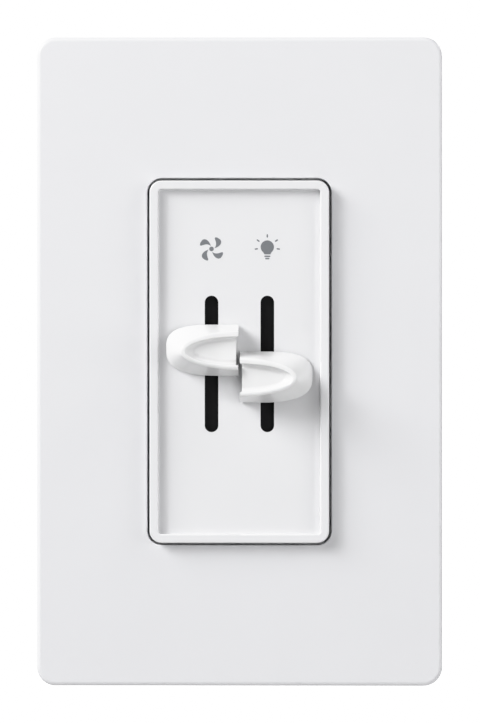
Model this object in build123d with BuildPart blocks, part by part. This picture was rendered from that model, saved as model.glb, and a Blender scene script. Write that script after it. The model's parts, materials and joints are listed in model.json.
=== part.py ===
from build123d import *
import math
import os

# Twin slide dimmer with a screwless wall plate. Millimetres, +Z up. The wall is the plane y = 0 and the
# room lies towards -Y. Distances named "forward" are measured from the wall towards the room, so that a
# negative one lies inside the wall box. The origin is the middle of the device on the wall.

os.makedirs("parts", exist_ok=True)

# Wall plate
plate_width = 74.7
plate_height = 119.4
plate_forward = 7.6
plate_wall = 2.0
plate_corner = 3.5
plate_edge = 0.8

# Device face: raised rim around a recessed panel
face_width = 33.0
face_height = 66.6
face_corner = 2.2
face_wall = 1.5
face_gap = 0.45
rim_forward = 9.4
rim_width = 1.6
recess_depth = 1.2
recess_slope = 0.12
panel_forward = rim_forward - recess_depth
panel_back = panel_forward - 1.5

# Slots and slides
slot_x = 5.13
slot_z = -0.4
slot_width = 2.5
slot_length = 25.1
stem_width = 2.0
stem_length = 6.6
fan_rest_z = 2.04
light_rest_z = -2.9

# Knob, measured from the middle of its stem: towards the plate's middle, outwards, and up from the panel.
# Each side of its foot is a curve from the nose to a straight stretch: how far the curve first rises, how
# far out it is drawn before it turns straight, where it is straight, and how far that is from the middle.
knob_inner = 4.98
knob_nose = 8.33
knob_lift = 0.3
knob_inner_height = 5.2
knob_outer_height = 6.6
foot_upper = (1.85, 9.05, 0.0, 4.79)
foot_lower = (1.71, 7.96, -0.9, 4.61)
ridge_bulge = 0.55
tail_spare = 4.0
scoop_length = 9.7
scoop_half_width = 2.6
scoop_wall_depth = 2.3
scoop_depth = 1.2
scoop_floor_round = 0.7
scoop_set_back = 0.38
land_tip = 0.76
land_upper = 0.95
land_lower = 0.75
knob_round = 0.5
scoop_edge = 0.2
stem_pocket_length = 2.8
stem_pocket_at = [(-2.9, 0), (3.2, 0)]
stem_pocket_width = 5.6
stem_pocket_depth = 1.1

# Yoke and its standard fixings
yoke_forward = 1.6
box_screw_z = 41.67
plate_screw_z = 48.42
thread_radius = 1.7525
tapped_radius = 1.75
retainer_thickness = 0.4
housing_screw_at = [(x, z) for x in (-15.0, 15.0) for z in (-28.5, 28.5)]
ground_screw_at = (-15.0, -37.2)
rivet_at = (-5.3, 24.6)
snap_leg_at = [(x, z) for x in (-15.6, 15.6) for z in (-20.0, 20.0)]

# Adapter that the wall plate snaps on
adapter_width = 69.9
adapter_height = 114.6
adapter_back = 1.7
adapter_front = 3.3

# Carriages, levers and the controls behind the yoke
carriage_width = 8.6
carriage_length = 16.0
carriage_back = 2.0
carriage_front = 5.9
shield_thickness = 0.5
control_width = 8.0
control_length = 35.0
control_front = -2.0
case_wall = 0.5
lever_top = 3.9
stem_end = 4.2

# Back housing and circuit board
housing_width = 40.0
housing_height = 67.0
housing_depth = 32.0
housing_wall = 2.0
board_front = -9.0
board_back = -10.6
terminal_at = [(1, 12.0), (1, -12.0), (-1, 12.0)]
terminal_forward = -7.5


def facing(forward):
    """The plane that faces the room, this far in front of the wall, with local x, y along X, Z."""
    return Plane.XZ.offset(forward)


def plate(width, height, back, front, at=((0, 0),), corner=0.0, mode=Mode.ADD):
    """Rectangular blocks that face the room, centred on each (x, z)."""
    with BuildSketch(facing(back)) as outline:
        with Locations(*at):
            if corner:
                RectangleRounded(width, height, corner)
            else:
                Rectangle(width, height)
    extrude(outline.sketch, amount=front - back, mode=mode)


def disc(radius, back, front, at=((0, 0),), mode=Mode.ADD):
    """Round blocks that face the room, centred on each (x, z)."""
    with BuildSketch(facing(back)) as outline:
        with Locations(*at):
            Circle(radius)
    extrude(outline.sketch, amount=front - back, mode=mode)


def groove(length, width, back, front, at, angle, mode=Mode.SUBTRACT):
    """Round-ended slots that face the room, turned by angle from the X direction."""
    with BuildSketch(facing(back)) as outline:
        with Locations(*at):
            SlotOverall(length, width, rotation=angle)
    extrude(outline.sketch, amount=front - back, mode=mode)


def front_edges(part):
    """The edges of the face that lies furthest towards the room."""
    return part.faces().sort_by(Axis.Y)[0].edges()


def save(piece, name):
    piece.part.label = name
    export_step(piece.part, f"parts/{name}.step")


# Wall plate: a shallow shell with the standard rectangular opening and low catches inside its edge
opening_width = face_width + 2 * face_gap
opening_height = face_height + 2 * face_gap
opening_corner = face_corner + face_gap
catch_length = 14.0
catch_height = 0.15

with BuildPart() as wallplate:
    plate(plate_width, plate_height, 0, plate_forward, corner=plate_corner)
    fillet(front_edges(wallplate), plate_edge)
    plate(
        plate_width - 2 * plate_wall,
        plate_height - 2 * plate_wall,
        0,
        plate_forward - plate_wall,
        corner=plate_corner - plate_wall,
        mode=Mode.SUBTRACT,
    )
    plate(opening_width, opening_height, 0, plate_forward, corner=opening_corner, mode=Mode.SUBTRACT)
    fillet(front_edges(wallplate), 0.25)
    catch_x = plate_width / 2 - plate_wall - catch_height / 2
    catch_z = plate_height / 2 - plate_wall - catch_height / 2
    plate(catch_height, catch_length, 0.2, 0.7, at=[(-catch_x, 0), (catch_x, 0)])
    plate(catch_length, catch_height, 0.2, 0.7, at=[(0, -catch_z), (0, catch_z)])
save(wallplate, "wallplate")

# Adapter: a tray-shaped plate on the yoke, with ridges that the wall plate's catches snap behind
skirt = 1.4

with BuildPart() as wallplate_adapter:
    plate(adapter_width, adapter_height, 0.2, adapter_front, corner=2.4)
    plate(
        adapter_width - 2 * skirt,
        adapter_height - 2 * skirt,
        0.2,
        adapter_back,
        corner=1.2,
        mode=Mode.SUBTRACT,
    )
    plate(
        opening_width + 2 * face_gap,
        opening_height + 2 * face_gap,
        0,
        adapter_front,
        corner=opening_corner,
        mode=Mode.SUBTRACT,
    )
    disc(3.9, 0, adapter_front, at=[(0, -box_screw_z), (0, box_screw_z)], mode=Mode.SUBTRACT)
    disc(1.9, 0, adapter_front, at=[(0, -plate_screw_z), (0, plate_screw_z)], mode=Mode.SUBTRACT)
    ridge_x = (adapter_width + catch_height) / 2
    ridge_z = (adapter_height + catch_height) / 2
    plate(catch_height, catch_length, 0.8, 1.4, at=[(-ridge_x, 0), (ridge_x, 0)])
    plate(catch_length, catch_height, 0.8, 1.4, at=[(0, -ridge_z), (0, ridge_z)])
save(wallplate_adapter, "wallplate_adapter")


def slotted_screws(at, head_radius, head_back, head_front, shank, driver_depth=1.0):
    """Pan-head screws facing the room. shank lists its stretches as (radius, back, front)."""
    disc(head_radius, head_back, head_front, at=at)
    head_rims = faces().sort_by(Axis.Y)[: len(at)].edges()
    fillet(head_rims, 0.45 * (head_front - head_back))
    for radius, back, front in shank:
        disc(radius, back, front, at=at)
    plate(2 * head_radius, 0.9, head_front - driver_depth, head_front, at=at, mode=Mode.SUBTRACT)


with BuildPart() as adapter_screws:
    slotted_screws(
        [(0, -plate_screw_z), (0, plate_screw_z)],
        3.2,
        adapter_front,
        5.2,
        [(tapped_radius, -5.0, adapter_front)],
    )
save(adapter_screws, "adapter_screws")

# Mounting screws: the neck passes the yoke and the fibre washer, and the thread starts behind it
with BuildPart() as mounting_screws:
    slotted_screws(
        [(0, -box_screw_z), (0, box_screw_z)],
        3.4,
        yoke_forward,
        3.6,
        [(1.45, -retainer_thickness, yoke_forward), (thread_radius, -24.0, -retainer_thickness)],
    )
save(mounting_screws, "mounting_screws")

with BuildPart() as screw_retainers:
    plate(8, 8, -retainer_thickness, 0, at=[(0, -box_screw_z), (0, box_screw_z)], corner=0.8)
    disc(1.5, -retainer_thickness, 0, at=[(0, -box_screw_z), (0, box_screw_z)], mode=Mode.SUBTRACT)
save(screw_retainers, "screw_retainers")

# Bezel: a cap open at the back, with a raised rim, a drafted recess, two slots, guide ribs and snap legs
recess_width = face_width - 2 * rim_width
recess_height = face_height - 2 * rim_width
guide_x = slot_x + carriage_width / 2 + 0.82
leg_thickness = 1.2

with BuildPart() as bezel:
    plate(face_width, face_height, yoke_forward, rim_forward, corner=face_corner)
    with BuildSketch(facing(rim_forward)):
        RectangleRounded(recess_width, recess_height, 0.6)
    with BuildSketch(facing(panel_forward)):
        RectangleRounded(recess_width - 2 * recess_slope, recess_height - 2 * recess_slope, 0.4)
    loft(mode=Mode.SUBTRACT)
    fillet(front_edges(bezel), 0.25)
    plate(
        face_width - 2 * face_wall,
        face_height - 2 * face_wall,
        yoke_forward,
        panel_back,
        corner=0.7,
        mode=Mode.SUBTRACT,
    )
    groove(slot_length, slot_width, panel_back, rim_forward, [(-slot_x, slot_z), (slot_x, slot_z)], 90)
    plate(1.0, 60, 2.2, panel_back, at=[(-guide_x, 0), (0, 0), (guide_x, 0)])
    plate(leg_thickness, 4, -1.2, yoke_forward, at=snap_leg_at)
    hook_at = [(math.copysign(abs(x) + leg_thickness / 2 + 0.35, x), z) for x, z in snap_leg_at]
    plate(0.7, 4, -1.2, -0.2, at=hook_at)
save(bezel, "bezel")

# Yoke: aluminium strap and heat sink, with the standard slots and tapped holes in its ears
with BuildPart() as yoke:
    plate(42, 80, 0, yoke_forward, corner=3)
    plate(22, 104.8, 0, yoke_forward, corner=2)
    groove(6.5, 3.9, 0, yoke_forward, [(0, -box_screw_z), (0, box_screw_z)], 0)
    disc(tapped_radius, 0, yoke_forward, at=[(0, -plate_screw_z), (0, plate_screw_z)], mode=Mode.SUBTRACT)
    plate(3.2, 27, 0, yoke_forward, at=[(-slot_x, slot_z), (slot_x, slot_z)], corner=1, mode=Mode.SUBTRACT)
    plate(1.6, 4.6, 0, yoke_forward, at=snap_leg_at, mode=Mode.SUBTRACT)
    disc(1.25, 0, yoke_forward, at=housing_screw_at, mode=Mode.SUBTRACT)
    disc(1.55, 0, yoke_forward, at=[rivet_at], mode=Mode.SUBTRACT)
    disc(tapped_radius, 0, yoke_forward, at=[ground_screw_at], mode=Mode.SUBTRACT)
save(yoke, "yoke")

with BuildPart() as ground_screw:
    disc(3.2, -2.2, 0, at=[ground_screw_at])
    chamfer(faces().sort_by(Axis.Y)[-1].edges(), 0.5)
    plate(6.4, 0.9, -2.2, -1.2, at=[ground_screw_at], mode=Mode.SUBTRACT)
    disc(tapped_radius, 0, yoke_forward, at=[ground_screw_at])
save(ground_screw, "ground_screw")


# Knob: its foot near the panel is lofted to a narrower ridge on a plane that rises outwards, and a long
# scoop is cut in the ridge. It is made once, nose towards +X, with the middle of its stem at x = z = 0.
knob_base = panel_forward + knob_lift
knob_tail = -knob_inner - tail_spare
ridge_angle = math.degrees(math.atan((knob_outer_height - knob_inner_height) / (scoop_length + land_tip)))
slope_stretch = 1 / math.cos(math.radians(ridge_angle))
ridge_run = (scoop_length + land_tip) * slope_stretch
ridge_plane = Plane(
    origin=(-knob_inner, -(panel_forward + knob_inner_height), 0),
    x_dir=(math.cos(math.radians(ridge_angle)), -math.sin(math.radians(ridge_angle)), 0),
    z_dir=(-math.sin(math.radians(ridge_angle)), -math.cos(math.radians(ridge_angle)), 0),
)


def knob_side(nose, rise, reach, start, half_width, tail, up):
    """One side of an outline: a curve from the nose, then straight from start to the tail."""
    Bezier((nose, 0), (nose, rise * up), (reach, half_width * up), (start, half_width * up))
    Line((start, half_width * up), (tail, half_width * up))


def ridge_side(half_width, up):
    """One side of the ridge's outline, nearly a quarter ellipse before it becomes straight."""
    rise = ridge_bulge * half_width
    reach = ridge_bulge * ridge_run
    knob_side(ridge_run, rise, reach, 0, half_width, -2 * tail_spare, up)


with BuildPart() as knob_shape:
    with BuildSketch(facing(knob_base)):
        with BuildLine():
            knob_side(knob_nose, *foot_upper, knob_tail, 1)
            knob_side(knob_nose, *foot_lower, knob_tail, -1)
            Line((knob_tail, foot_upper[-1]), (knob_tail, -foot_lower[-1]))
        make_face()
    with BuildSketch(ridge_plane):
        with BuildLine():
            ridge_side(scoop_half_width + land_upper, 1)
            ridge_side(scoop_half_width + land_lower, -1)
            Line(
                (-2 * tail_spare, scoop_half_width + land_upper),
                (-2 * tail_spare, -scoop_half_width - land_lower),
            )
        make_face()
    loft(ruled=True)
    split(bisect_by=Plane.YZ.offset(-knob_inner), keep=Keep.TOP)
    ridge_face = knob_shape.faces().sort_by(Axis(ridge_plane.origin, ridge_plane.z_dir))[-1]
    fillet(ridge_face.edges().sort_by(Axis.X)[1:], knob_round)

# The scoop is half a long spheroid whose axis runs just above the ridge plane, stopped short by a flat floor
scoop_radius = (scoop_half_width**2 + scoop_wall_depth**2) / (2 * scoop_wall_depth)
scoop_rise = scoop_radius - scoop_wall_depth
scoop_shrink = math.sqrt(1 - (scoop_rise / scoop_radius) ** 2)
scoop_reach = scoop_length * slope_stretch / scoop_shrink
scoop_plane = ridge_plane.offset(scoop_rise)

with BuildPart() as scoop:
    with BuildSketch(scoop_plane):
        with BuildLine():
            EllipticalCenterArc((0, 0), scoop_reach, scoop_radius, 0, arc_size=180)
            Line((-scoop_reach, 0), (scoop_reach, 0))
        make_face()
    revolve(axis=Axis(scoop_plane.origin, scoop_plane.x_dir))
    split(bisect_by=ridge_plane.offset(-scoop_depth), keep=Keep.TOP)
    scoop_floor = scoop.faces().sort_by(Axis(ridge_plane.origin, ridge_plane.z_dir))[0]
    fillet(scoop_floor.edges(), scoop_floor_round)

with knob_shape:
    add(scoop.part, mode=Mode.SUBTRACT)
    plate(
        scoop_set_back,
        2 * scoop_half_width,
        knob_base,
        rim_forward + knob_outer_height,
        at=[(scoop_set_back / 2 - knob_inner, 0)],
        mode=Mode.SUBTRACT,
    )
    ridge_face = knob_shape.faces().sort_by(Axis(ridge_plane.origin, ridge_plane.z_dir))[-1]
    fillet(ridge_face.edges().sort_by(SortBy.LENGTH)[-2], scoop_edge)
    plate(
        stem_pocket_length,
        stem_pocket_width,
        knob_base,
        knob_base + stem_pocket_depth,
        at=stem_pocket_at,
        corner=0.5,
        mode=Mode.SUBTRACT,
    )
    groove(stem_length, stem_width, stem_end, knob_base, [(0, 0)], 90, mode=Mode.ADD)

with BuildPart() as light_knob:
    with Locations((slot_x, 0, light_rest_z)):
        add(knob_shape.part)
save(light_knob, "light_knob")

with BuildPart() as fan_knob:
    with Locations((-slot_x, 0, fan_rest_z)):
        add(knob_shape.part.mirror(Plane.YZ))
save(fan_knob, "fan_knob")


# Behind the panel each slide has a carriage, a dust shield, a lever and a sliding contact
def carriage(x, z):
    """Nylon block with a pocket for the knob's stem in front and one for the lever behind."""
    plate(carriage_width, carriage_length, carriage_back, carriage_front, at=[(x, z)], corner=0.8)
    groove(stem_length + 0.1, stem_width + 0.1, stem_end, carriage_front, [(x, z)], 90)
    plate(1.3, 5.1, carriage_back, lever_top, at=[(x, z)], mode=Mode.SUBTRACT)
    plate(2.2, 2.0, carriage_back, carriage_back + 1.2, at=[(x - 2.9, z), (x + 2.9, z)], mode=Mode.SUBTRACT)


def dust_shield(x, z):
    """Thin strip that keeps the slot dark and closed wherever the knob is."""
    plate(6.0, 43.6, carriage_front, carriage_front + shield_thickness, at=[(x, z)], corner=1.0)
    groove(stem_length + 0.1, stem_width + 0.1, carriage_front, panel_back, [(x, z)], 90)


def lever(x, z):
    """Tang through the yoke, with the block that carries the contact inside the control's case."""
    plate(1.2, 5.0, -3.2, lever_top, at=[(x, z)])
    plate(5.4, 7.0, -5.0, -3.2, at=[(x, z)], corner=0.6)


def sliding_contact(x, z):
    """Bent spring strip with two fingers that reach towards the base."""
    plate(4.6, 5.0, -5.3, -5.0, at=[(x, z)])
    for finger_x in (x - 1.5, x + 1.5):
        with BuildSketch(Plane.YZ.offset(finger_x - 0.5)) as finger:
            with BuildLine():
                Polyline(
                    [
                        (5.3, z + 2.5),
                        (5.3, z + 2.2),
                        (6.9, z - 1.6),
                        (6.6, z - 2.4),
                        (6.9, z - 2.5),
                        (7.2, z - 1.6),
                        (5.6, z + 2.5),
                    ],
                    close=True,
                )
            make_face()
        extrude(finger.sketch, amount=1.0)


with BuildPart() as fan_carriage:
    carriage(-slot_x, fan_rest_z)
save(fan_carriage, "fan_carriage")

with BuildPart() as light_carriage:
    carriage(slot_x, light_rest_z)
save(light_carriage, "light_carriage")

with BuildPart() as fan_dust_shield:
    dust_shield(-slot_x, fan_rest_z)
save(fan_dust_shield, "fan_dust_shield")

with BuildPart() as light_dust_shield:
    dust_shield(slot_x, light_rest_z)
save(light_dust_shield, "light_dust_shield")

with BuildPart() as fan_lever:
    lever(-slot_x, fan_rest_z)
save(fan_lever, "fan_lever")

with BuildPart() as light_lever:
    lever(slot_x, light_rest_z)
save(light_lever, "light_lever")

with BuildPart() as fan_contact_bridge:
    sliding_contact(-slot_x, fan_rest_z)
save(fan_contact_bridge, "fan_contact_bridge")

with BuildPart() as light_wiper:
    sliding_contact(slot_x, light_rest_z)
save(light_wiper, "light_wiper")


# The two slide controls stand on the board, each a steel case over an insulating base
base_front = board_front + 1.2


def control_case(x):
    plate(control_width, control_length, board_front, control_front, at=[(x, slot_z)], corner=0.6)
    plate(
        control_width - 2 * case_wall,
        control_length - 2 * case_wall,
        board_front,
        control_front - case_wall,
        at=[(x, slot_z)],
        mode=Mode.SUBTRACT,
    )
    groove(24.4, 1.8, control_front - case_wall, control_front, [(x, slot_z)], 90)


def control_base(x):
    plate(control_width - 1.2, control_length - 1.2, board_front, base_front, at=[(x, slot_z)])


with BuildPart() as fan_switch_case:
    control_case(-slot_x)
save(fan_switch_case, "fan_switch_case")

with BuildPart() as light_control_case:
    control_case(slot_x)
save(light_control_case, "light_control_case")

with BuildPart() as fan_switch_base:
    control_base(-slot_x)
save(fan_switch_base, "fan_switch_base")

with BuildPart() as light_track_base:
    control_base(slot_x)
save(light_track_base, "light_track_base")

with BuildPart() as fan_fixed_contacts:
    pad_at = [(-slot_x - 1.5, slot_z + step) for step in (-9.6, -3.6, 2.4, 8.4)]
    plate(1.6, 3.6, base_front, base_front + 0.3, at=pad_at)
    plate(1.6, 26, base_front, base_front + 0.3, at=[(-slot_x + 1.5, slot_z - 0.6)])
save(fan_fixed_contacts, "fan_fixed_contacts")

with BuildPart() as light_tracks:
    plate(1.6, 29, base_front, base_front + 0.15, at=[(slot_x - 1.5, slot_z), (slot_x + 1.5, slot_z)])
save(light_tracks, "light_tracks")

# Air-gap switch below the light control: a sprung leaf over a fixed contact
with BuildPart() as airgap_contact:
    plate(5.0, 3.0, board_front, -7.6, at=[(slot_x, -25.6)])
    disc(1.1, -7.6, -7.1, at=[(slot_x, -25.6)])
save(airgap_contact, "airgap_contact")

with BuildPart() as airgap_leaf:
    plate(4.0, 1.0, board_front, -5.9, at=[(slot_x, -20.0)])
    plate(4.0, 7.6, -6.3, -5.9, at=[(slot_x, -23.3)])
    disc(1.0, -6.7, -6.3, at=[(slot_x, -25.6)])
save(airgap_leaf, "airgap_leaf")

# Triac flat against the back of the yoke, with its insulating pad and rivet
triac_z = rivet_at[1]

with BuildPart() as triac_insulator:
    plate(16.4, 11.2, -0.3, 0, at=[(-0.7, triac_z)])
    disc(1.8, -0.3, 0, at=[rivet_at], mode=Mode.SUBTRACT)
save(triac_insulator, "triac_insulator")

with BuildPart() as triac:
    plate(9.0, 10.0, -4.8, -0.3, at=[(2.5, triac_z)])
    chamfer(faces().sort_by(Axis.Y)[-1].edges(), 0.5)
    plate(6.6, 10.0, -1.6, -0.3, at=[(-5.1, triac_z)])
    disc(1.8, -1.6, -0.3, at=[rivet_at], mode=Mode.SUBTRACT)
    for lead_z in (triac_z - 2.54, triac_z, triac_z + 2.54):
        plate(5.0, 0.9, -3.2, -2.6, at=[(9.3, lead_z)])
        plate(0.6, 0.9, board_front, -2.6, at=[(11.5, lead_z)])
save(triac, "triac")

with BuildPart() as triac_rivet:
    disc(2.6, yoke_forward, yoke_forward + 0.9, at=[rivet_at])
    fillet(front_edges(triac_rivet), 0.4)
    disc(1.55, -1.6, yoke_forward, at=[rivet_at])
    disc(2.6, -2.5, -1.6, at=[rivet_at])
save(triac_rivet, "triac_rivet")

# Circuit board on the housing's four posts
with BuildPart() as circuit_board:
    plate(35.4, 62.4, board_back, board_front, corner=1.0)
    disc(2.4, board_back, board_front, at=housing_screw_at, mode=Mode.SUBTRACT)
save(circuit_board, "circuit_board")

# Choke: a ferrite ring behind the board with its turns of wire around it
choke_at = (-5.0, -18.0)
choke_outer = 10.0
choke_inner = 5.0
choke_back = -19.8
choke_front = -11.8
wire = 0.9
turn_count = 20

with BuildPart() as choke_core:
    disc(choke_outer, choke_back, choke_front, at=[choke_at])
    disc(choke_inner, choke_back, choke_front, at=[choke_at], mode=Mode.SUBTRACT)
save(choke_core, "choke_core")

with BuildPart() as choke_turn:
    turn_middle = ((choke_outer + choke_inner) / 2, (choke_back + choke_front) / 2)
    turn_width = choke_outer - choke_inner + 0.1
    turn_height = choke_front - choke_back + 0.1
    with BuildSketch(Plane.XY.offset(-wire / 2)):
        with Locations((turn_middle[0], -turn_middle[1])):
            RectangleRounded(turn_width + 2 * wire, turn_height + 2 * wire, wire)
            Rectangle(turn_width, turn_height, mode=Mode.SUBTRACT)
    extrude(amount=wire)

with BuildPart() as choke_winding:
    for turn in range(turn_count):
        turned = choke_turn.part.rotate(Axis.Y, turn * 360 / turn_count)
        with Locations((choke_at[0], 0, choke_at[1])):
            add(turned)
save(choke_winding, "choke_winding")

# Capacitors and the small components behind the board
with BuildPart() as fan_capacitor_large:
    plate(9.5, 26.0, -27.6, board_back, at=[(-11.75, 7.5)], corner=0.8)
    fillet(faces().sort_by(Axis.Y)[-1].edges(), 0.6)
save(fan_capacitor_large, "fan_capacitor_large")

with BuildPart() as fan_capacitor_small:
    plate(7.0, 26.0, -25.6, board_back, at=[(-2.5, 7.5)], corner=0.8)
    fillet(faces().sort_by(Axis.Y)[-1].edges(), 0.6)
save(fan_capacitor_small, "fan_capacitor_small")

with BuildPart() as noise_capacitor:
    plate(6.0, 18.0, -22.6, board_back, at=[(5.5, 9.0)], corner=0.6)
    fillet(faces().sort_by(Axis.Y)[-1].edges(), 0.5)
save(noise_capacitor, "noise_capacitor")

with BuildPart() as timing_capacitor:
    plate(4.0, 7.0, -18.6, board_back - 1.0, at=[(13.0, 12.0)], corner=1.6)
    disc(0.3, board_back - 1.0, board_back, at=[(13.0, 9.5), (13.0, 14.5)])
save(timing_capacitor, "timing_capacitor")

with BuildPart() as varistor:
    with BuildSketch(Plane.YZ.offset(11.0)):
        with Locations((17.0, -2.0)):
            Circle(5.0)
    extrude(amount=4.0)
    fillet(edges().filter_by(GeomType.CIRCLE), 0.8)
    disc(0.4, -12.4, board_back, at=[(13.0, -4.0), (13.0, 0.0)])
save(varistor, "varistor")

with BuildPart() as fuse:
    with BuildSketch(Plane.XY.offset(-24.5)):
        with Locations((13.0, 14.0)):
            Circle(2.6)
    extrude(amount=9.0)
    disc(0.4, -12.0, board_back, at=[(13.0, -23.0), (13.0, -17.0)])
save(fuse, "fuse")


def axial_component(body_radius, body_length, lead_span):
    """Round body along Z in front of the board at x = z = 0, on two bent wire leads."""
    height = board_front + body_radius + 0.4
    wire_radius = 0.3
    for radius, length in ((body_radius, body_length), (wire_radius, lead_span)):
        with BuildSketch(Plane.XY.offset(-length / 2)) as section:
            with Locations((0, -height)):
                Circle(radius)
        extrude(section.sketch, amount=length)
    foot_z = lead_span / 2 - wire_radius
    disc(wire_radius, board_front, height, at=[(0, -foot_z), (0, foot_z)])


with BuildPart() as resistor_shape:
    axial_component(1.1, 6.4, 10.0)

with BuildPart() as resistors:
    with Locations((-12.5, 0, -6.0), (-12.5, 0, -21.0), (12.6, 0, -4.0), (-3.0, 0, -24.5)):
        add(resistor_shape.part)
save(resistors, "resistors")

with BuildPart() as diac_shape:
    axial_component(0.9, 4.0, 8.0)

with BuildPart() as diac:
    with Locations((-13.0, 0, 22.0)):
        add(diac_shape.part)
save(diac, "diac")

# Side terminals: a brass plate on the housing's side with a tab that goes in to the board
with BuildPart() as terminal_plates:
    for side, terminal_z in terminal_at:
        with Locations((side * 20.5, -terminal_forward, terminal_z)):
            Box(1.0, 9.0, 8.0)
        plate(4.7, 4.0, -4.0, -3.0, at=[(side * 17.85, terminal_z)])
        plate(0.8, 1.6, board_front, -3.0, at=[(side * 15.9, terminal_z)])
        with Locations((side * 20.5, -terminal_forward, terminal_z)):
            Cylinder(1.9, 1.0, rotation=(0, 90, 0), mode=Mode.SUBTRACT)
save(terminal_plates, "terminal_plates")

with BuildPart() as terminal_screws:
    for side, terminal_z in terminal_at:
        with Locations((side * 22.1, -terminal_forward, terminal_z)):
            Cylinder(3.6, 2.2, rotation=(0, 90, 0))
        with Locations((side * 22.8, -terminal_forward, terminal_z)):
            Box(0.8, 7.2, 0.9, mode=Mode.SUBTRACT)
        with Locations((side * 19.5, -terminal_forward, terminal_z)):
            Cylinder(1.9, 3.0, rotation=(0, 90, 0))
save(terminal_screws, "terminal_screws")

# Back housing: an open box behind the yoke, with four posts that carry the board and take the long screws
with BuildPart() as back_housing:
    plate(housing_width, housing_height, -housing_depth, 0, corner=3)
    fillet(faces().sort_by(Axis.Y)[-1].edges(), 1.2)
    plate(
        housing_width - 2 * housing_wall,
        housing_height - 2 * housing_wall,
        housing_wall - housing_depth,
        0,
        corner=1.5,
        mode=Mode.SUBTRACT,
    )
    disc(3.2, housing_wall - housing_depth, board_back, at=housing_screw_at)
    disc(2.2, board_back, 0, at=housing_screw_at)
    disc(1.25, -housing_depth, 0, at=housing_screw_at, mode=Mode.SUBTRACT)
    disc(2.3, -housing_depth, -26.0, at=housing_screw_at, mode=Mode.SUBTRACT)
    for side, terminal_z in terminal_at:
        plate(2.4, 4.2, -4.1, 0, at=[(side * 19.0, terminal_z)], mode=Mode.SUBTRACT)
        with Locations((side * 19.0, -terminal_forward, terminal_z)):
            Cylinder(2.0, 2.4, rotation=(0, 90, 0), mode=Mode.SUBTRACT)
save(back_housing, "back_housing")

with BuildPart() as housing_screws:
    disc(2.1, -27.6, -26.0, at=housing_screw_at)
    plate(4.4, 0.7, -27.6, -26.9, at=housing_screw_at, mode=Mode.SUBTRACT)
    disc(1.25, -26.0, yoke_forward, at=housing_screw_at)
save(housing_screws, "housing_screws")
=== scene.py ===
import json
import math

import bmesh
import bpy
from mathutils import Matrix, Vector


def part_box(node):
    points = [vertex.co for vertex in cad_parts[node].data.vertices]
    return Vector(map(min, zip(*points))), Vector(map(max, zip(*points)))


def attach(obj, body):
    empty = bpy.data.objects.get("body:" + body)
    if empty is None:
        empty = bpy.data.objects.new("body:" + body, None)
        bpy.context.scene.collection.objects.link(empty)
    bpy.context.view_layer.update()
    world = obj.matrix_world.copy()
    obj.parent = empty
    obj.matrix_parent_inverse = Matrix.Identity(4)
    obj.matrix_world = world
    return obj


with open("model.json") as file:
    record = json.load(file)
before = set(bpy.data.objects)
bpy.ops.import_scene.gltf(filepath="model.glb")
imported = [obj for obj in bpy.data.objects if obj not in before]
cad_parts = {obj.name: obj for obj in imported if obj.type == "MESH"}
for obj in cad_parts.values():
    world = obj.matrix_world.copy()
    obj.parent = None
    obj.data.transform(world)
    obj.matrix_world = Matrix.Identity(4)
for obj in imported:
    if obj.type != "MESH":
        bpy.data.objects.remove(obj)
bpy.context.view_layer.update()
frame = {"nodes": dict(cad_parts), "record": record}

MM = 0.001


# ---------------------------------------------------------------------------------------------------------
# Places, read from the frame. The room is towards -Y and the wall is y = 0.
# ---------------------------------------------------------------------------------------------------------
def middle_x(node):
    low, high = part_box(node)
    return (low.x + high.x) / 2


RECESS_DEPTH = 1.2 * MM

plate_front_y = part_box("wallplate")[0].y
panel_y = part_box("bezel")[0].y + RECESS_DEPTH
fan_x = middle_x("fan_dust_shield")
light_x = middle_x("light_dust_shield")
legend_z = 20.75 * MM


# ---------------------------------------------------------------------------------------------------------
# Camera
# ---------------------------------------------------------------------------------------------------------
def make_camera():
    """A long lens almost straight in front, a little above and to the right of the middle."""
    image_height = 133.0 * MM
    sensor = 36.0
    distance = 1.4
    azimuth = math.radians(1.0)
    elevation = math.radians(0.8)
    aim_right = 0.1 * MM
    aim_up = 0.04 * MM
    target = Vector((aim_right, plate_front_y, aim_up))
    back = Vector(
        (
            math.sin(azimuth) * math.cos(elevation),
            -math.cos(azimuth) * math.cos(elevation),
            math.sin(elevation),
        )
    )
    data = bpy.data.cameras.new("camera")
    data.sensor_width = sensor
    data.lens = sensor * distance / image_height
    data.clip_start = 0.05
    data.clip_end = 20.0
    camera = bpy.data.objects.new("camera", data)
    camera.location = target + back * distance
    camera.rotation_mode = "QUATERNION"
    camera.rotation_quaternion = (-back).to_track_quat("-Z", "Y")
    bpy.context.scene.collection.objects.link(camera)
    bpy.context.scene.camera = camera


# ---------------------------------------------------------------------------------------------------------
# Light, tones and floor
# ---------------------------------------------------------------------------------------------------------
WHITE = (1.0, 1.0, 1.0, 1.0)
FILL_COLOUR = (0.985, 0.99, 1.0, 1.0)
FILL_LIGHT = 0.02
BACKDROP_LIGHT = 1.8

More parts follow.
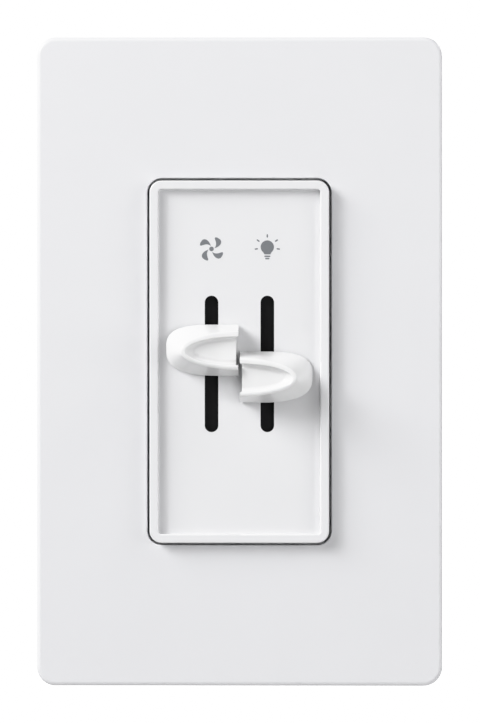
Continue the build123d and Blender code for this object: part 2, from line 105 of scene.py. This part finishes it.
# Each softbox: name, direction from the object, distance and side length in metres, and power in watts.
# The two at the back light the rear and the edges, which the others leave dark.
SOFTBOXES = [
    ("key_left", Vector((-0.785, -0.33, 0.525)), 1.15, 0.50, 11.8),
    ("key_front", Vector((-0.66, -0.57, 0.49)), 1.15, 0.55, 8.0),
    ("front_right", Vector((0.32, -0.95, 0.0)), 1.30, 0.50, 3.2),
    ("low_front", Vector((0.11, -0.74, -0.66)), 1.30, 0.60, 1.1),
    ("side_right", Vector((0.89, -0.45, 0.04)), 1.30, 0.65, 5.5),
    ("grazing_right", Vector((0.80, -0.12, 0.58)), 1.30, 0.60, 5.0),
    ("back_left", Vector((-0.60, 0.72, 0.35)), 1.30, 0.80, 9.0),
    ("back_right", Vector((0.62, 0.70, 0.35)), 1.30, 0.80, 9.0),
]

# The tone curve is straight up to the shoulder. From there it bends over towards white, through points at
# these distances past the shoulder, and CURVE_WHITE is the brightness that it shows as white.
CURVE_WHITE = 1.8
SHOULDER = 0.82
CURVE_STEPS = (0.0, 0.06, 0.12, 0.18, 0.26, 0.36, 0.50, 0.70)
COMBINED_CURVE = 3

# The floor is as far below the object as below a switch on a wall
FLOOR_HEIGHT = -1.2
FLOOR_HALF = 1.5
FLOOR_GLOW = 0.34


def make_world():
    """A white backdrop that only the camera sees, and a faint even fill that only lights the object."""
    world = bpy.data.worlds.new("studio")
    world.use_nodes = True
    nodes = world.node_tree.nodes
    links = world.node_tree.links
    nodes.clear()
    output = nodes.new("ShaderNodeOutputWorld")
    mix = nodes.new("ShaderNodeMixShader")
    fill = nodes.new("ShaderNodeBackground")
    backdrop = nodes.new("ShaderNodeBackground")
    path = nodes.new("ShaderNodeLightPath")
    fill.inputs["Color"].default_value = FILL_COLOUR
    fill.inputs["Strength"].default_value = FILL_LIGHT
    backdrop.inputs["Color"].default_value = WHITE
    backdrop.inputs["Strength"].default_value = BACKDROP_LIGHT
    links.new(path.outputs["Is Camera Ray"], mix.inputs["Fac"])
    links.new(fill.outputs["Background"], mix.inputs[1])
    links.new(backdrop.outputs["Background"], mix.inputs[2])
    links.new(mix.outputs["Shader"], output.inputs["Surface"])
    bpy.context.scene.world = world


def set_tones():
    """The display transform, with highlights rolled off instead of clipped."""
    view = bpy.context.scene.view_settings
    view.view_transform = "Standard"
    view.use_curve_mapping = True
    view.curve_mapping.white_level = (CURVE_WHITE, CURVE_WHITE, CURVE_WHITE)
    curve = view.curve_mapping.curves[COMBINED_CURVE]
    headroom = 1.0 - SHOULDER
    for step in CURVE_STEPS:
        bright = SHOULDER + step
        shown = SHOULDER + headroom * (1.0 - math.exp(-step / headroom))
        point = curve.points.new(bright / CURVE_WHITE, shown)
        point.handle_type = "VECTOR"
    view.curve_mapping.update()


def make_softboxes():
    for name, direction, distance, side, power in SOFTBOXES:
        data = bpy.data.lights.new(name, "AREA")
        data.shape = "SQUARE"
        data.size = side
        data.energy = power
        light = bpy.data.objects.new(name, data)
        light.location = direction.normalized() * distance
        light.rotation_mode = "QUATERNION"
        light.rotation_quaternion = (-direction).to_track_quat("-Z", "Y")
        light.visible_camera = False
        bpy.context.scene.collection.objects.link(light)


def make_floor():
    """A pale paper floor with a faint glow that fills in from below."""
    paper = plastic("floor_paper", (0.80, 0.80, 0.80), 0.7, grain=1.5, depth=0.01)
    shader = paper.node_tree.nodes["Principled BSDF"]
    shader.inputs["Emission Color"].default_value = WHITE
    shader.inputs["Emission Strength"].default_value = FLOOR_GLOW
    corners = [
        (x * FLOOR_HALF, y * FLOOR_HALF, FLOOR_HEIGHT) for x, y in ((-1, -1), (1, -1), (1, 1), (-1, 1))
    ]
    mesh = bpy.data.meshes.new("floor")
    mesh.from_pydata(corners, [], [(0, 1, 2, 3)])
    mesh.materials.append(paper)
    floor = bpy.data.objects.new("floor", mesh)
    bpy.context.scene.collection.objects.link(floor)


# ---------------------------------------------------------------------------------------------------------
# Materials. Sizes of grain and depths of relief are in millimetres.
# ---------------------------------------------------------------------------------------------------------
EVEN_GRAIN = (1.0, 1.0, 1.0)
GRAIN_ALONG_Z = (1.0, 1.0, 0.03)


def new_material(name):
    """A material with its shader and the object's own coordinates, in metres."""
    material = bpy.data.materials.new(name)
    material.use_nodes = True
    nodes = material.node_tree.nodes
    shader = nodes["Principled BSDF"]
    place = nodes.new("ShaderNodeTexCoord")
    return material, nodes, material.node_tree.links, shader, place.outputs["Object"]


def stretched(nodes, links, place, scale):
    """The coordinates scaled by (x, y, z), for grain that runs one way."""
    mapping = nodes.new("ShaderNodeMapping")
    mapping.inputs["Scale"].default_value = scale
    links.new(place, mapping.inputs["Vector"])
    return mapping.outputs["Vector"]


def noise(nodes, links, place, size, detail=2.0, rough=0.5):
    """Noise whose lumps are about size millimetres."""
    node = nodes.new("ShaderNodeTexNoise")
    node.inputs["Scale"].default_value = 1.0 / (size * MM)
    node.inputs["Detail"].default_value = detail
    node.inputs["Roughness"].default_value = rough
    links.new(place, node.inputs["Vector"])
    return node.outputs["Fac"]


def ranged(nodes, links, value, low, high, start=0.3, stop=0.7):
    """The value between start and stop, spread from low to high."""
    node = nodes.new("ShaderNodeMapRange")
    node.inputs["From Min"].default_value = start
    node.inputs["From Max"].default_value = stop
    node.inputs["To Min"].default_value = low
    node.inputs["To Max"].default_value = high
    links.new(value, node.inputs["Value"])
    return node.outputs["Result"]


def tinted(nodes, links, value, colour, other, shader):
    """Base colour between two colours, steered by value."""
    node = nodes.new("ShaderNodeMix")
    node.data_type = "RGBA"
    node.inputs["A"].default_value = (*colour, 1.0)
    node.inputs["B"].default_value = (*other, 1.0)
    links.new(value, node.inputs["Factor"])
    links.new(node.outputs["Result"], shader.inputs["Base Color"])


def bumped(nodes, links, height, depth, shader):
    """Surface relief."""
    node = nodes.new("ShaderNodeBump")
    node.inputs["Distance"].default_value = depth * MM
    links.new(height, node.inputs["Height"])
    links.new(node.outputs["Normal"], shader.inputs["Normal"])


def darker(colour, share):
    return tuple(channel * share for channel in colour)


def plastic(name, colour, roughness, grain=0.4, depth=0.002, shade=0.97, shine=0.5, see_through=0.0):
    """Moulded plastic: fine grain, uneven gloss and a faint cloudiness of colour."""
    cloud = 14.0
    spread = 0.03
    material, nodes, links, shader, place = new_material(name)
    fine = noise(nodes, links, place, grain, detail=3.0)
    broad = noise(nodes, links, place, cloud)
    tinted(nodes, links, ranged(nodes, links, broad, 0.0, 1.0), colour, darker(colour, shade), shader)
    gloss = ranged(nodes, links, broad, roughness - spread, roughness + spread)
    links.new(gloss, shader.inputs["Roughness"])
    bumped(nodes, links, fine, depth, shader)
    shader.inputs["IOR"].default_value = 1.49
    shader.inputs["Specular IOR Level"].default_value = shine
    shader.inputs["Transmission Weight"].default_value = see_through
    return material


def metal(name, colour, roughness, grain=EVEN_GRAIN, size=0.2, depth=0.002, shade=0.85):
    """Metal with brushing or a plated grain that runs along the axis with the smallest grain factor."""
    patch = 6.0
    smoother = 0.06
    rougher = 0.08
    material, nodes, links, shader, place = new_material(name)
    streaks = noise(nodes, links, stretched(nodes, links, place, grain), size, detail=4.0, rough=0.6)
    broad = noise(nodes, links, place, patch)
    tinted(nodes, links, ranged(nodes, links, broad, 0.0, 1.0), colour, darker(colour, shade), shader)
    gloss = ranged(nodes, links, streaks, roughness - smoother, roughness + rougher)
    links.new(gloss, shader.inputs["Roughness"])
    bumped(nodes, links, streaks, depth, shader)
    shader.inputs["Metallic"].default_value = 1.0
    return material


def ceramic(name, colour, roughness, size=0.3, other=None):
    """Pressed or coated body with a speckled surface."""
    shade = 0.75
    rougher = 0.1
    depth = 0.006
    material, nodes, links, shader, place = new_material(name)
    speckle = noise(nodes, links, place, size, detail=5.0, rough=0.7)
    second = other or darker(colour, shade)
    tinted(nodes, links, ranged(nodes, links, speckle, 0.0, 1.0), colour, second, shader)
    links.new(ranged(nodes, links, speckle, roughness, roughness + rougher), shader.inputs["Roughness"])
    bumped(nodes, links, speckle, depth, shader)
    return material


def laminate(name, colour, roughness, other):
    """Fibre board with its weave showing faintly."""
    rougher = 0.12
    depth = 0.004
    material, nodes, links, shader, place = new_material(name)
    texture = nodes.new("ShaderNodeTexWave")
    texture.wave_type = "BANDS"
    texture.bands_direction = "DIAGONAL"
    texture.inputs["Scale"].default_value = 900.0
    texture.inputs["Distortion"].default_value = 2.0
    texture.inputs["Detail"].default_value = 3.0
    links.new(place, texture.inputs["Vector"])
    weave = texture.outputs["Fac"]
    tinted(nodes, links, weave, colour, other, shader)
    gloss = ranged(nodes, links, weave, roughness, roughness + rougher, start=0.0, stop=1.0)
    links.new(gloss, shader.inputs["Roughness"])
    bumped(nodes, links, weave, depth, shader)
    return material


def glassy(name, colour, roughness):
    """Small glass body, tinted."""
    swirl_size = 0.8
    shade = 0.8
    rougher = 0.04
    material, nodes, links, shader, place = new_material(name)
    swirl = noise(nodes, links, place, swirl_size)
    tinted(nodes, links, ranged(nodes, links, swirl, 0.0, 1.0), colour, darker(colour, shade), shader)
    links.new(ranged(nodes, links, swirl, roughness, roughness + rougher), shader.inputs["Roughness"])
    shader.inputs["Transmission Weight"].default_value = 0.35
    shader.inputs["IOR"].default_value = 1.52
    return material


# Each material: its kind, colour, roughness and what else its kind needs. All but legend_grey are material
# slots of the record.
FINE_WHITE = dict(grain=0.5, shade=0.985)
BRUSHED = dict(grain=GRAIN_ALONG_Z)
CAPACITOR = dict(grain=0.4, depth=0.004, shade=0.9)
MATERIALS = {
    "plate_white": (plastic, (0.732, 0.733, 0.750), 0.34, dict(FINE_WHITE, depth=0.0015)),
    "bezel_white": (plastic, (0.760, 0.761, 0.774), 0.24, dict(FINE_WHITE, depth=0.0012)),
    "knob_white": (
        plastic,
        (0.930, 0.931, 0.934),
        0.18,
        dict(grain=0.8, depth=0.0006, shade=0.99, shine=0.4, see_through=0.20),
    ),
    "legend_grey": (plastic, (0.185, 0.195, 0.210), 0.45, dict(grain=0.08, shade=0.85)),
    "shield_black": (
        plastic,
        (0.006, 0.006, 0.0065),
        0.75,
        dict(grain=0.15, depth=0.004, shade=0.7, shine=0.3),
    ),
    "adapter_white": (plastic, (0.74, 0.74, 0.73), 0.50, dict(grain=0.25, depth=0.006, shade=0.95)),
    "yoke_aluminium": (metal, (0.76, 0.77, 0.78), 0.34, dict(BRUSHED, size=0.25, depth=0.004)),
    "screw_zinc": (metal, (0.66, 0.67, 0.68), 0.28, dict(size=0.35, depth=0.003)),
    "retainer_fibre": (laminate, (0.30, 0.075, 0.045), 0.65, dict(other=(0.22, 0.05, 0.03))),
    "ground_green": (metal, (0.05, 0.33, 0.12), 0.30, dict(size=0.3, depth=0.003, shade=0.7)),
    "carriage_nylon": (plastic, (0.70, 0.68, 0.62), 0.42, dict(grain=0.3, depth=0.004, shade=0.93)),
    "case_steel": (metal, (0.60, 0.60, 0.60), 0.36, dict(BRUSHED, size=0.3, depth=0.003)),
    "base_phenolic": (laminate, (0.24, 0.12, 0.055), 0.55, dict(other=(0.17, 0.08, 0.035))),
    "contact_metal": (metal, (0.80, 0.60, 0.30), 0.25, BRUSHED),
    "track_carbon": (plastic, (0.02, 0.02, 0.02), 0.60, dict(grain=0.1, depth=0.003, shade=0.6)),
    "board_green": (laminate, (0.025, 0.17, 0.07), 0.35, dict(other=(0.015, 0.12, 0.045))),
    "epoxy_black": (plastic, (0.022, 0.022, 0.024), 0.48, dict(grain=0.12, depth=0.006, shade=0.7)),
    "insulator_grey": (plastic, (0.42, 0.45, 0.48), 0.75, dict(grain=0.2, depth=0.006, shade=0.9)),
    "rivet_aluminium": (metal, (0.78, 0.78, 0.79), 0.30, dict(size=0.4, depth=0.003)),
    "ferrite": (ceramic, (0.055, 0.055, 0.060), 0.55, {}),
    "wire_enamel": (metal, (0.72, 0.28, 0.10), 0.22, dict(size=0.5)),
    "capacitor_grey": (plastic, (0.36, 0.39, 0.44), 0.30, CAPACITOR),
    "capacitor_yellow": (plastic, (0.72, 0.55, 0.08), 0.30, CAPACITOR),
    "capacitor_green": (plastic, (0.06, 0.24, 0.12), 0.22, dict(grain=0.9, depth=0.02, shade=0.8)),
    "resistor_tan": (ceramic, (0.62, 0.47, 0.28), 0.40, dict(size=0.4)),
    "diac_blue": (glassy, (0.12, 0.26, 0.52), 0.08, {}),
    "varistor_blue": (ceramic, (0.05, 0.13, 0.40), 0.35, dict(size=0.6)),
    "fuse_ceramic": (ceramic, (0.78, 0.76, 0.70), 0.45, dict(other=(0.70, 0.67, 0.60))),
    "housing_grey": (plastic, (0.045, 0.045, 0.050), 0.52, dict(grain=0.3, depth=0.012, shade=0.8)),
    "terminal_brass": (metal, (0.80, 0.62, 0.30), 0.30, dict(size=0.3, depth=0.003)),
}


def make_materials():
    made = {}
    for name, (kind, colour, roughness, options) in MATERIALS.items():
        made[name] = kind(name, colour, roughness, **options)
    return made


def dress_cad_nodes(materials):
    """Each CAD node takes the material of its slot in the record."""
    for subpart in frame["record"]["subparts"]:
        node = frame["nodes"][subpart["node"]]
        node.data.materials.clear()
        node.data.materials.append(materials[subpart["material_slot"]])


# ---------------------------------------------------------------------------------------------------------
# Legends: a printed pictogram over each slot. Outlines are in millimetres, (x, z) round the legend's middle,
# and angles in degrees.
# ---------------------------------------------------------------------------------------------------------
INK = 0.02 * MM

BLADE_COUNT = 4
BLADE_START = 0.55
BLADE_REACH = 2.35
BLADE_LEAN = 34
BLADE_SPREAD = 44
FIRST_BLADE_ANGLE = 20
HUB_RADIUS = 0.42

BULB_MIDDLE = 0.35
BULB_RADIUS = 1.22
BULB_FIRST_ANGLE = -52
BULB_SWEEP = 284
BULB_STEPS = 32
NECK_HALF_WIDTH = 0.55
NECK_Z = -1.0
RAY_LENGTH = 0.62
RAY_WIDTH = 0.26
RAY_DISTANCE = 2.05
RAY_ANGLES = (-10, 35, 90, 145, 190)
CAP_BARS = ((1.1, -1.36), (0.8, -1.78))
CAP_BAR_WIDTH = 0.28


def ink_shape(mesh, outline, centre):
    """A flat printed shape on the panel, as thick as the ink."""
    front = panel_y - INK
    top = [mesh.verts.new((centre[0] + x * MM, front, centre[1] + z * MM)) for x, z in outline]
    bottom = [mesh.verts.new((vert.co.x, panel_y, vert.co.z)) for vert in top]
    mesh.faces.new(top)
    mesh.faces.new(list(reversed(bottom)))
    for index in range(len(top)):
        after = (index + 1) % len(top)
        mesh.faces.new((top[after], top[index], bottom[index], bottom[after]))


def ink_piece(name, outlines, centre, material):
    """A legend of several printed shapes, which rides on the device."""
    mesh = bmesh.new()
    for outline in outlines:
        ink_shape(mesh, outline, centre)
    bmesh.ops.recalc_face_normals(mesh, faces=mesh.faces)
    bmesh.ops.triangulate(mesh, faces=[face for face in mesh.faces if len(face.verts) > 4])
    data = bpy.data.meshes.new(name)
    mesh.to_mesh(data)
    mesh.free()
    piece = bpy.data.objects.new(name, data)
    bpy.context.scene.collection.objects.link(piece)
    data.materials.append(material)
    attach(piece, "device")


def circle_outline(radius, steps=40):
    turns = [2 * math.pi * step / steps for step in range(steps)]
    return [(radius * math.cos(turn), radius * math.sin(turn)) for turn in turns]


def bar_outline(length, width, centre, angle, steps=8):
    """A bar with round ends."""
    points = []
    for end, start in ((1, -90), (-1, 90)):
        for step in range(steps + 1):
            turn = math.radians(start + 180 * step / steps)
            along = end * (length - width) / 2 + width / 2 * math.cos(turn)
            across = width / 2 * math.sin(turn)
            points.append((along, across))
    turn = math.radians(angle)
    return [
        (
            centre[0] + along * math.cos(turn) - across * math.sin(turn),
            centre[1] + along * math.sin(turn) + across * math.cos(turn),
        )
        for along, across in points
    ]


def blade_outline(angle, steps=16):
    """One leaning blade of the fan: a lobe between two curved edges."""
    lean_bend = 1.4
    tip_fullness = 0.8
    lobe_fullness = 0.7
    offset = 6
    span = BLADE_REACH - BLADE_START
    points = []
    for step in range(steps + 1):
        share = step / steps
        distance = BLADE_START + span * math.sin(math.pi / 2 * share)
        points.append((distance, BLADE_LEAN * share**lean_bend - offset))
    for step in range(1, steps):
        share = 1 - step / steps
        distance = BLADE_START + span * math.sin(math.pi / 2 * share) ** tip_fullness
        lobe = BLADE_SPREAD * math.sin(math.pi * share) ** lobe_fullness
        points.append((distance, BLADE_LEAN * share**lean_bend + lobe - offset))
    turned = [(distance, math.radians(turn + angle)) for distance, turn in points]
    return [(distance * math.cos(turn), distance * math.sin(turn)) for distance, turn in turned]


def fan_outlines():
    """Blades round a hub."""
    angles = [FIRST_BLADE_ANGLE + 360 // BLADE_COUNT * blade for blade in range(BLADE_COUNT)]
    return [blade_outline(angle) for angle in angles] + [circle_outline(HUB_RADIUS)]


def bulb_outlines():
    """A light bulb with its cap and rays."""
    bulb = []
    for step in range(BULB_STEPS + 1):
        turn = math.radians(BULB_FIRST_ANGLE + BULB_SWEEP * step / BULB_STEPS)
        bulb.append((BULB_RADIUS * math.cos(turn), BULB_MIDDLE + BULB_RADIUS * math.sin(turn)))
    bulb += [(-NECK_HALF_WIDTH, NECK_Z), (NECK_HALF_WIDTH, NECK_Z)]
    cap = [bar_outline(length, CAP_BAR_WIDTH, (0.0, z), 0) for length, z in CAP_BARS]
    rays = []
    for angle in RAY_ANGLES:
        turn = math.radians(angle)
        middle = (RAY_DISTANCE * math.cos(turn), BULB_MIDDLE + RAY_DISTANCE * math.sin(turn))
        rays.append(bar_outline(RAY_LENGTH, RAY_WIDTH, middle, angle))
    return [bulb] + cap + rays


def make_legends(ink):
    ink_piece("fan_legend", fan_outlines(), (fan_x, legend_z), ink)
    ink_piece("light_legend", bulb_outlines(), (light_x, legend_z), ink)


make_camera()
make_world()
set_tones()
make_softboxes()
make_floor()
materials = make_materials()
dress_cad_nodes(materials)
make_legends(materials["legend_grey"])
